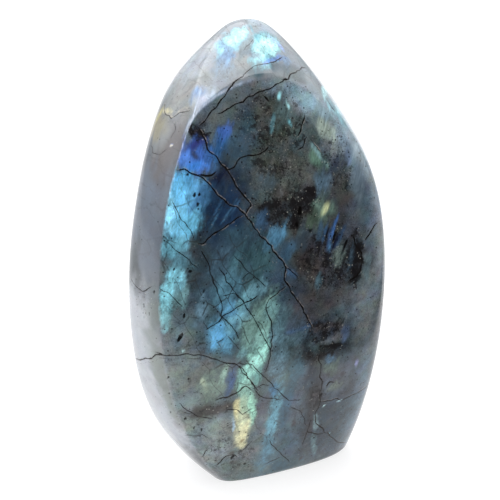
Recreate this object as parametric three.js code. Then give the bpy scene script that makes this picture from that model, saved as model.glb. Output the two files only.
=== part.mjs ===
// A standing freeform of polished labradorite, about 150 mm tall: one natural stone with a flat foot.
//
// The stone was ground by hand into a few large, gently crowned faces that meet in edges of different
// softness. Each face is one entry in CUTS. A point lies on the surface where the cuts' pressures,
// exp(overshoot / softness), add up to one: far from an edge that is the face itself, and near an edge
// it is a smooth blend of the two faces beside it. The foot is a plane at z = 0 with a narrow bevel.
//
// Millimetres, +Z up, broad face towards -Y. The origin is on the ground under the middle of the box
// that holds the stone.

import * as THREE from 'three';

// ---- Driving dimensions ----

// The point inside the stone that all the cuts are measured from.
const HEART = new THREE.Vector3(-0.2, 5.85, 65.55);

// turn and tilt: where the middle of the face points, in degrees around +Z from +X and up from level.
// reach: from the heart to the face. crownAcross, crownUp: the radius of its bulge, level and upward.
// softness: how widely it blends into its neighbours above the shoulder; the edge's radius grows with it.
const CUTS = [
  { face: 'broad front', turn: -90, tilt: -1, reach: 40.2, crownAcross: 200, crownUp: 160, softness: 0.9 },
  { face: 'left side', turn: 151, tilt: -5, reach: 52.6, crownAcross: 37, crownUp: 60, softness: 0.9 },
  { face: 'front of the peak', turn: -95, tilt: 52, reach: 74.0, crownAcross: 41, crownUp: 220, softness: 0.9 },
  { face: 'left shoulder', turn: 121, tilt: 40, reach: 58.4, crownAcross: 31, crownUp: 500, softness: 1.5 },
  { face: 'right side', turn: 0, tilt: 0, reach: 44.2, crownAcross: 450, crownUp: 450, softness: 4.0 },
  { face: 'right slope', turn: -2, tilt: 36, reach: 62.6, crownAcross: 57, crownUp: 800, softness: 3.5 },
  { face: 'back', turn: 91, tilt: 4, reach: 30.4, crownAcross: 210, crownUp: 240, softness: 4.0 },
  { face: 'back left', turn: 139, tilt: 0, reach: 20.6, crownAcross: 800, crownUp: 900, softness: 4.0 },
];

// Edges were rounded more by hand lower down: the softness grows in a straight line from
// crispAbove down to the ground, where it is (1 + extraAtFoot) times as large.
const WEAR = { crispAbove: 110, extraAtFoot: 2.2 };

const FOOT_BEVEL = 0.8;

// ---- How finely the surface is divided ----

const COLUMNS = 84;
const ROWS = 38;
// Columns gather around the crisp edge between the broad face and the left side.
const CRISP_EDGE_TURN = -160;
const GATHERING = 0.45;
// The spine that the rows leave from: level at its foot, straight up at its top.
const SPINE_FOOT = new THREE.Vector3(11.5, 2.0, FOOT_BEVEL);
const SPINE_TOP = new THREE.Vector3(5.0, 6.0, 112);
const FAN_POWER = 2.6;

const LONGEST_RAY = 160;
const BISECTIONS = 32;

const UP = new THREE.Vector3(0, 0, 1);

function direction(turn, tilt) {
  const level = Math.cos(tilt);
  return new THREE.Vector3(Math.cos(turn) * level, Math.sin(turn) * level, Math.sin(tilt));
}

// Each cut with the three directions of its face worked out.
const FACES = CUTS.map((cut) => {
  const outward = direction(THREE.MathUtils.degToRad(cut.turn), THREE.MathUtils.degToRad(cut.tilt));
  const across = new THREE.Vector3().crossVectors(UP, outward).normalize();
  const upward = new THREE.Vector3().crossVectors(outward, across);
  return { ...cut, outward, across, upward };
});

// How far a point stands beyond one crowned face: negative on the stone's side of it.
function overshoot(face, fromHeart) {
  const sideways = fromHeart.dot(face.across);
  const lengthways = fromHeart.dot(face.upward);
  const crown = sideways ** 2 / (2 * face.crownAcross) + lengthways ** 2 / (2 * face.crownUp);
  return fromHeart.dot(face.outward) - face.reach + crown;
}

function isOutside(point) {
  const fromHeart = point.clone().sub(HEART);
  const depthBelowCrisp = THREE.MathUtils.clamp(1 - point.z / WEAR.crispAbove, 0, 1);
  const wear = 1 + WEAR.extraAtFoot * depthBelowCrisp;
  let pressure = 0;
  for (const face of FACES) {
    pressure += Math.exp(overshoot(face, fromHeart) / (face.softness * wear));
  }
  return pressure > 1;
}

// The stone is convex, so a ray from inside it crosses the surface once.
function surfacePoint(start, ray) {
  let inside = 0;
  let outside = LONGEST_RAY;
  for (let step = 0; step < BISECTIONS; step += 1) {
    const middle = (inside + outside) / 2;
    if (isOutside(start.clone().addScaledVector(ray, middle))) {
      outside = middle;
    } else {
      inside = middle;
    }
  }
  return start.clone().addScaledVector(ray, inside);
}

function turnOfColumn(column) {
  const edge = THREE.MathUtils.degToRad(CRISP_EDGE_TURN);
  const even = (2 * Math.PI * column) / COLUMNS;
  return edge + even - GATHERING * Math.sin(even);
}

// One ring of points; climb runs from 0 at the foot to 1 at the apex.
function ring(climb) {
  const start = SPINE_FOOT.clone().lerp(SPINE_TOP, climb);
  const tilt = (Math.PI / 2) * climb ** FAN_POWER;
  const points = [];
  for (let column = 0; column < COLUMNS; column += 1) {
    points.push(surfacePoint(start, direction(turnOfColumn(column), tilt)));
  }
  return points;
}

// The ring on the ground, stepped in from the stone's lowest ring by the bevel.
function footRing(lowestRing) {
  return lowestRing.map((point) => {
    const inward = SPINE_FOOT.clone().sub(point).setZ(0).setLength(FOOT_BEVEL);
    return point.clone().add(inward).setZ(0);
  });
}

function stoneGeometry() {
  const rings = [];
  for (let row = 0; row < ROWS; row += 1) {
    rings.push(ring(row / ROWS));
  }
  rings.unshift(footRing(rings[0]));

  const vertices = rings.flat();
  const footCentre = vertices.push(SPINE_FOOT.clone().setZ(0)) - 1;
  const apex = vertices.push(surfacePoint(SPINE_TOP, UP)) - 1;

  const triangles = [];
  const topRing = (rings.length - 1) * COLUMNS;
  for (let column = 0; column < COLUMNS; column += 1) {
    const next = (column + 1) % COLUMNS;
    triangles.push(footCentre, next, column);
    for (let row = 0; row < rings.length - 1; row += 1) {
      const lower = row * COLUMNS;
      const upper = lower + COLUMNS;
      triangles.push(lower + column, lower + next, upper + next);
      triangles.push(lower + column, upper + next, upper + column);
    }
    triangles.push(topRing + column, topRing + next, apex);
  }

  const geometry = new THREE.BufferGeometry().setFromPoints(vertices);
  geometry.setIndex(triangles);
  geometry.computeVertexNormals();
  return geometry;
}

const stone = new THREE.Mesh(
  stoneGeometry(),
  new THREE.MeshStandardMaterial({ color: 0x4f6069, roughness: 0.08, metalness: 0 }),
);
stone.name = 'stone';

const group = new THREE.Group();
group.name = 'polished_labradorite_freeform';
group.add(stone);

export default group;
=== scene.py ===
import itertools
import math
from collections import namedtuple

import bpy
import numpy as np
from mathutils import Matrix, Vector


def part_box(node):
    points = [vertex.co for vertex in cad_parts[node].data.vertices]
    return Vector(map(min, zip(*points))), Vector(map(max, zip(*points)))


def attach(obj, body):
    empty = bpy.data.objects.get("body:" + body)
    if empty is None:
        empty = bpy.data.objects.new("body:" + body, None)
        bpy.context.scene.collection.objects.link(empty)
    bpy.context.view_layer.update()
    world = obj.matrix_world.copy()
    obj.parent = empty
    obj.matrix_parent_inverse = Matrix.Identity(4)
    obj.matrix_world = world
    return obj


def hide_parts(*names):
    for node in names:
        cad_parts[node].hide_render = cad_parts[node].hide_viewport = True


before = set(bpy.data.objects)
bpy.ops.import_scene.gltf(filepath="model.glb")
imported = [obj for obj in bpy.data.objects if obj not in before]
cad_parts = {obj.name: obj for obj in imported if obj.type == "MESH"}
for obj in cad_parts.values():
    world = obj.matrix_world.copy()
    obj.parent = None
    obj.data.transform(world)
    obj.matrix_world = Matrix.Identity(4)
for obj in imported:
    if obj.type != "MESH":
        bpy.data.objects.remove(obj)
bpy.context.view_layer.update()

# A standing freeform of polished labradorite. The stone's shape, its colours and its cracks are worked
# out in millimetres in the frame's own axes, and become metres when the mesh is made. The table, the
# lights and the camera are in metres.
MM = 0.001

# ---- The ground shape ----

# The point inside the stone that all the cuts are measured from.
HEART = np.array([-0.2, 5.85, 65.55])

# turn and tilt are the way the middle of a ground face points, in degrees. reach is its distance from
# the heart, crown_across and crown_up are the radii of its bulge, softness is how widely it blends.
Cut = namedtuple("Cut", "turn tilt reach crown_across crown_up softness")
CUTS = {
    "broad front": Cut(-90, -1, 40.2, 200, 160, 0.9),
    "left side": Cut(151, -5, 52.6, 37, 60, 0.9),
    "front of the peak": Cut(-95, 52, 74.0, 41, 220, 0.9),
    "left shoulder": Cut(121, 40, 58.4, 31, 500, 1.5),
    "right side": Cut(0, 0, 44.2, 450, 450, 4.0),
    "right slope": Cut(-2, 36, 62.6, 57, 800, 3.5),
    "back": Cut(91, 4, 30.4, 210, 240, 4.0),
    "back left": Cut(139, 0, 20.6, 800, 900, 4.0),
}
# The edges are crisp above this height. Below it the softness grows evenly down to the ground, where
# it is (1 + EXTRA_SOFTNESS_AT_FOOT) times as large.
CRISP_ABOVE = 110
EXTRA_SOFTNESS_AT_FOOT = 2.2
FOOT_BEVEL = 0.8

# The spine that the rows of points leave from: level at its foot, straight up at its top.
SPINE_FOOT = np.array([11.5, 2.0, FOOT_BEVEL])
SPINE_TOP = np.array([5.0, 6.0, 112.0])
FAN_POWER = 2.6
LONGEST_RAY = 160.0
HALVINGS = 28
# A cap on the powers of e, far outside the stone, that keeps the sums finite.
HIGHEST_POWER = 30

# Rows are spaced evenly along the outline at MERIDIAN_TURN, and columns along the girth at GIRTH_CLIMB.
COLUMNS = 372
ROWS = 262
TRIAL_STEPS = 720
MERIDIAN_TURN = math.radians(-100)
GIRTH_CLIMB = 0.45
# Columns lie FRONT_DENSITY times closer on the side that is looked at, which is centred FRONT_LEAN to
# the left of straight front. They thin out where the cosine of the turn from there falls from the
# second value of FRONT_FADE to the first.
FRONT_DENSITY = 2.3
FRONT_LEAN = math.radians(20)
FRONT_FADE = (-0.35, 0.1)
# A bend sharper than this is shaded as an edge.
CREASE = math.radians(40)

# ---- How the marks are laid ----

# The direction of the fibres that the flashes are brushed along, and the noise's scale along them.
FIBRE = (0.38, 0.5, 0.8)
FIBRE_STRETCH = 0.10

# Smooth noise repeats after this many cells.
LATTICE = 32

# A patch's outline wanders by WANDER times its half width and half height, each counted up to
# WANDER_SIZE, and lengthways by half its half height, up to FIBRE_WANDER, as well.
WANDER = 0.45
WANDER_SIZE = 4
FIBRE_WANDER = 2.2
# Patches and pits fade out between two of their sizes.
GROUND_FADE = (0.35, 1.5)
FLASH_FADE = (0.35, 1.4)
MASK_FADE = (0.4, 1.4)
PIT_FADE = (0.3, 1.3)

# A crack is cut into steps of CRACK_STEP that stray sideways by about CRACK_STRAY. It is known up to
# CRACK_REACH from its line, where the points belong to its face by more than CRACK_SHARE. Its width
# swells and shrinks by CRACK_SWELL round CRACK_BODY times its own. It tapers over CRACK_TAPER at each
# end, and the taper starts CRACK_END before the end.
CRACK_SEED = 5
CRACK_SHARE = 0.3
CRACK_STEP = 0.8
CRACK_STRAY = 0.30
CRACK_REACH = 1.4
CRACK_TAPER = 2.0
CRACK_END = 0.5
CRACK_BODY = 0.95
CRACK_SWELL = 0.25
# The groove under a crack: its depth as a share of the crack's half width, and how far it spreads.
GROOVE_DEPTH = 0.08
GROOVE_SPREAD = 0.35
# Grooves and pits fade out between these heights, so that the foot stays flat.
WHOLE_FOOT = (1.0, 2.5)
# Hair cracks are the borders of cells of this size, in rows turned by HAIR_CRACK_TURN.
HAIR_CRACK_CELL = 5.5
HAIR_CRACK_TURN = (0.0, math.radians(28), 0.0)

# A painted highlight where the crisp edges catch the light: on the left face's edge from the lower of these
# heights up, on the peak's from the first of these places across toward the left, and both only as far as
# they face the front.
EDGE_HIGHLIGHT_HEIGHTS = (96, 114)
EDGE_HIGHLIGHT_PEAK = (3, -10)
EDGE_HIGHLIGHT_FACING = (0.30, 0.50)
EDGE_HIGHLIGHT_STRENGTH = 0.65

# Colours laid on faces and patches, in screen values from 0 to 255.
GROUND_COLOUR = (86, 94, 98)
UNDER_FLASH_COLOUR = (70, 100, 130)
# The colour of the painted highlight along the crisp edges.
EDGE_HIGHLIGHT_COLOUR = (176, 180, 190)

# Colours of the small marks, in linear values.
COOL_TINT = (0.92, 1.0, 1.07, 1)
WARM_TINT = (1.06, 1.0, 0.94, 1)
BROWN_FELDSPAR = (0.066, 0.057, 0.050, 1)
SOOT = (0.010, 0.009, 0.010, 1)
PALE_GRAIN = (0.36, 0.36, 0.32, 1)
HAIR_CRACK = (0.02, 0.02, 0.02, 1)
CRACK_STAIN = (0.020, 0.018, 0.018, 1)
# The pale line beside a crack: partly healed filling, partly a painted highlight.
PALE_FILL_AND_HIGHLIGHT = (0.30, 0.27, 0.25, 1)
OPEN_CRACK = (0.012, 0.010, 0.009, 1)
PIT_DARK = (0.008, 0.007, 0.007, 1)

FELDSPAR_IOR = 1.50

# How strongly the ground's grain shows on each face, where it is not 1.
GRAIN_SHOWS = {"left": 0.2, "peak": 0.45, "right": 0.75, "back": 0.8}

# ---- Table, light and camera ----

# The table's edge lies TABLE_REACH from its middle.
TABLE_REACH = 3
TABLE_COLOUR = (0.28, 0.28, 0.285)
TABLE_GLOW = 0.75

# A dark upright card in front of the stone, unseen by the camera, that the broad face mirrors: its two
# ends on the table and its height. It glows along its foot, up to CARD_FOOT_HEIGHT, and at its right
# side, where both CARD_SIDE_ACROSS and CARD_SIDE_UP fade it in.
CARD_LEFT = (-0.17, -0.165)
CARD_RIGHT = (0.15, -0.0165)
CARD_TOP = 0.30
CARD_FOOT_GLOW = 1.2
CARD_FOOT_HEIGHT = 0.022
CARD_SIDE_GLOW = 1.4
CARD_SIDE_ACROSS = (0.070, 0.100)
CARD_SIDE_UP = (0.030, 0.060)

OVERHEAD_PLACE = (-0.05, 0.0, 0.80)
OVERHEAD_SIZE = (1.3, 1.1)
OVERHEAD_RADIANCE = 2.8
FILL_PLACE = (-0.35, -0.95, 0.35)
FILL_SIZE = (0.8, 0.8)
FILL_RADIANCE = 4.6

# The surroundings brighten from WALL_LOW to WALL_HIGH between the two tilts with these sines.
WALL_COLOUR = (0.97, 0.985, 1.0, 1)
WALL_LOW = 0.6
WALL_HIGH = 1.5
WALL_RISE = (0.12, 0.30)

CAMERA_TURN = math.radians(-24)
CAMERA_TILT = math.radians(20.7)
CAMERA_DISTANCE = 0.6
# From the middle of the stone's box to the point that the camera looks at.
CAMERA_AIM = (0.0063, 0.0030, -0.0027)
CAMERA_LENS = 130
CAMERA_SENSOR = 36

# ---- Colours and cracks, face by face ----

# Each face is drawn on a flat chart: across and up are the chart's directions, toward is where the face
# looks. A point belongs to it as far as its outward direction turns that way, from begins to full.
# hem: the two places across between which the face grows from nothing to whole, if it has such a side.
Face = namedtuple("Face", "across up toward begins full hem", defaults=[None])
FACES = {
    "back": Face((-1, 0, 0), (0, 0, 1), (0, 1, 0), 0.0, 0.3),
    "right": Face((0, 1, 0), (0, 0, 1), (1, 0, 0), 0.66, 0.86),
    "front": Face((1, 0, 0), (0, 0, 1), (0, -1, 0), 0.0, 0.3),
    "left": Face((0, -1, 0), (0, 0, 1), (-1, 0, 0), 0.45, 0.62, (-26, 2)),
    "peak": Face((1, 0, 0), (0, 1, 0), (0, 0, 1), 0.50, 0.66),
}

# A patch is an oval: its middle on the chart, half its width and height, how far its long way leans to
# the right in degrees, how fully it covers, 0 to 1, its colour in screen values from 0 to 255, and how
# soft its edge is, 0 to 1. hem: the two places across between which it grows from nothing, if any.
Patch = namedtuple(
    "Patch",
    "across up half_width half_height lean cover colour edge hem",
    defaults=[None, 1, None],
)

# The plain grey and brown feldspar between the flashes; on the left face, the pale grey low down and the
# pale patch at its top are painted reflection.
GROUND = {
    "front": [
        (0, 24, 48, 42, 0, 1, (78, 92, 96)), (-30, 36, 13, 26, -8, 0.9, (102, 113, 111)),
        (-24, 18, 12, 14, -20, 0.9, (108, 119, 121)), (-8, 18, 9, 13, 0, 0.85, (98, 106, 106)),
        (-14, 5, 12, 6, 0, 0.85, (80, 88, 86)), (24, 24, 15, 26, 0, 0.95, (50, 62, 74)),
        (23, 18, 11, 15, 0, 0.88, (34, 48, 58)), (6, 12, 4, 12, 0, 0.8, (58, 80, 94)),
        (8.4, 32, 3.6, 12, 0, 0.85, (76, 88, 102)), (24, 35, 9, 6, 0, 0.85, (74, 82, 92)),
        (32, 27, 3.4, 6, 0, 0.8, (52, 66, 80)), (14.8, 27, 2.8, 18, 4, 0.88, (30, 32, 37)),
        (14, 30, 3.6, 5, 0, 0.8, (46, 42, 44)), (28.5, 29.4, 1.6, 5, 88, 0.8, (46, 48, 56)),
        (-3.8, 30, 1.9, 8, 0, 0.8, (78, 82, 92)), (8.3, 21.3, 1, 1.5, 0, 0.8, (52, 40, 46)),
        (14.2, 4.2, 0.8, 1.4, 0, 0.85, (50, 36, 38)), (-12.6, 13.7, 1.2, 1.1, 0, 0.8, (60, 48, 42)),
        (12.6, 40, 2.6, 5, 0, 0.88, (26, 32, 42)), (-31.5, 62, 7.5, 11, 0, 0.9, (104, 118, 122)),
        (-24, 66, 5, 12, 10, 0.8, (66, 84, 96)), (-12, 82, 17, 24, 20, 0.95, (54, 76, 88)),
        (-17, 92, 6, 4, 60, 0.8, (46, 62, 72)), (-26.6, 87, 5, 13, 10, 0.9, (42, 54, 60)),
        (4, 70, 8, 14, 20, 0.88, (50, 64, 76)), (1, 119, 13, 19, 0, 0.95, (58, 62, 56)),
        (-9, 122, 8, 9, 30, 0.7, (56, 76, 88)), (6, 108, 13, 5, 0, 0.85, (86, 92, 92)),
        (8, 116, 9, 3.5, 0, 0.8, (60, 70, 74)), (20.5, 108, 6, 5, 0, 0.9, (50, 62, 72)),
        (24, 96, 4, 5, 0, 0.8, (58, 64, 68)), (-20, 102, 11, 11, 20, 0.95, (22, 36, 52)),
        (12, 98, 17, 6, -8, 0.9, (56, 58, 58)), (5, 100, 12, 5, -6, 0.85, (34, 35, 36)),
        (18, 82, 13, 13, 10, 0.95, (54, 58, 64)), (14, 64, 12, 12, 0, 0.95, (66, 68, 72)),
        (27.5, 62, 8, 7, 0, 0.9, (94, 107, 115)), (17, 48, 3, 9, 86, 0.85, (22, 22, 26)),
        (31, 54, 2, 8, 62, 0.75, (50, 56, 60)), (28, 78, 3, 9, 4, 0.9, (22, 22, 26)),
        (12.6, 101, 3.4, 1.8, 70, 0.95, (14, 14, 15)), (6.8, 94.6, 1.6, 5, 14, 0.95, (22, 22, 22)),
        (25.6, 102.4, 2, 1.2, -80, 0.9, (16, 16, 18)), (10, 81, 5, 7, 20, 0.9, (52, 49, 50)),
        (33, 86, 3, 6, 10, 0.7, (88, 84, 88)), (15.5, 56, 11, 4.6, -4, 0.88, (42, 46, 53)),
        (21, 51.8, 1.6, 6, 86, 0.8, (96, 102, 106)), (34.5, 62, 6, 18, 4, 0.9, (112, 120, 124)),
        (34, 95, 6, 14, -8, 0.88, (86, 106, 120)), (38, 98, 2.4, 12, -8, 0.85, (54, 74, 86)),
        (28, 92, 4, 7, 0, 0.8, (74, 80, 88)), (26, 120, 7, 15, -28, 0.9, (142, 160, 170)),
        (11.5, 131.8, 6.5, 4.2, -50, 0.9, (142, 162, 171)), (16.4, 128, 4, 3, -40, 0.85, (156, 178, 186)),
        (16.5, 137, 1.6, 4, 70, 0.8, (96, 108, 110)), (5, 136, 5, 3, 0, 0.8, (112, 130, 142)),
        (11, 122, 5, 4.5, 0, 0.8, (66, 80, 82)), (-20.6, 33, 2.7, 7, 88, 0.95, (46, 42, 39)),
        (-25.8, 32.6, 3, 1.8, 60, 0.9, (46, 42, 38)), (-20, 27, 7, 4, 0, 0.85, (118, 131, 130)),
        (-13, 133, 3, 12, 64, 0.8, (82, 91, 97)), (-23, 124.5, 3.5, 2.4, 40, 0.9, (30, 34, 44)),
        (-12.5, 110, 3, 8, -32, 0.8, (26, 36, 50)), (-19.2, 119, 0.6, 5, -24, 0.9, (12, 13, 18)),
        (-16.4, 113.6, 1, 3, -38, 0.9, (10, 11, 16)), (-23.4, 123.6, 2.4, 1.4, 50, 0.95, (14, 14, 22)),
        (20, 46.6, 2, 12, 86, 0.7, (34, 38, 44)), (37, 80, 3, 22, -4, 0.85, (112, 124, 134)),
        (31, 111, 4, 10, -25, 0.9, (112, 128, 140)), (25, 125, 4, 8, -30, 0.85, (110, 134, 148)),
        (35, 26, 3.2, 22, 0, 0.85, (84, 104, 118)), (36.5, 50, 2.4, 7, 8, 0.8, (60, 72, 78)),
    ],
    "left": [
        # Painted reflection: the pale grey patches over the lower part of this face stand in for the lit
        # table mirrored in it, and the pale patch at across -5, up 139 is a painted reflection of the
        # bright surroundings.
        (22, 100, 26, 32, 0, 1, (84, 91, 101)), (6, 36, 40, 44, 0, 0.8, (118, 123, 128)),
        (18, 37, 24, 40, 0, 1, (156, 160, 166), 0.34, (0, 20)),
        (28.4, 36, 4, 34, -2, 0.9, (118, 125, 122), 0.8), (-5, 139, 8, 10, 0, 0.8, (148, 152, 157), 0.7),
        (10, 114, 5, 4, 0, 0.7, (76, 80, 84)), (18, 122, 9, 9, 0, 0.9, (86, 83, 84)),
        (13, 121, 4, 4.4, 0, 0.9, (108, 111, 112)), (20, 114, 6, 3, 60, 0.7, (78, 74, 74)),
        (6, 123, 6, 4, 0, 0.8, (124, 118, 98)), (6, 141, 16, 12, 20, 0.9, (134, 139, 143)),
        (21, 80, 7, 2.2, 80, 0.7, (52, 54, 56)), (30, 70, 3, 8, 0, 0.9, (100, 108, 108)),
        (21, 4, 12, 15, 25, 0.95, (70, 76, 80), 0.8), (17, 83, 3.4, 8, 14, 0.7, (54, 62, 66)),
    ],
    "peak": [
        (0, -6, 40, 30, 0, 1, (112, 118, 123)), (-15, 0, 13, 7, 60, 0.88, (142, 147, 153)),
        (10, 2, 9, 4, -60, 0.8, (138, 150, 158)), (-15, -5, 6, 4, 45, 0.8, (128, 135, 144)),
        (-18, -20, 6, 3, 60, 0.85, (154, 164, 180)), (-26, -8, 8, 12, 0, 0.7, (112, 110, 104)),
        (2, -15.8, 2.4, 6.5, 80, 0.92, (48, 68, 78)), (22, -12, 9, 9, 0, 0.8, (112, 122, 128)),
        (12, -20.4, 2, 6, 80, 0.9, (152, 166, 174)), (13, -15.5, 2.6, 5, 70, 0.8, (90, 100, 104)),
    ],
    "right": [
        (0, 60, 40, 50, 0, 0.9, (78, 88, 94)), (-4, 112, 20, 20, 0, 0.8, (104, 112, 116)),
        (8, 34, 12, 18, 10, 0.8, (60, 64, 68)), (12, 84, 9, 16, 12, 0.8, (62, 68, 74)),
        (-8, 20, 14, 12, 0, 0.8, (94, 98, 94)),
    ],
    "back": [
        (0, 70, 60, 70, 0, 1, (80, 88, 92)), (14, 96, 15, 24, 18, 0.85, (54, 60, 64)),
        (-4, 66, 12, 18, 20, 0.8, (56, 66, 74)), (-16, 50, 12, 22, 14, 0.8, (66, 72, 76)),
        (4, 22, 22, 14, 0, 0.8, (100, 104, 98)), (24, 48, 10, 20, 8, 0.8, (100, 102, 98)),
        (-8, 120, 14, 12, 0, 0.8, (104, 110, 114)), (-2, 76, 9, 4, 60, 0.85, (36, 34, 34)),
        (20, 70, 5, 9, 20, 0.8, (44, 48, 52)), (-26, 84, 5, 14, 12, 0.8, (60, 66, 70)),
    ],
}
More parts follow.
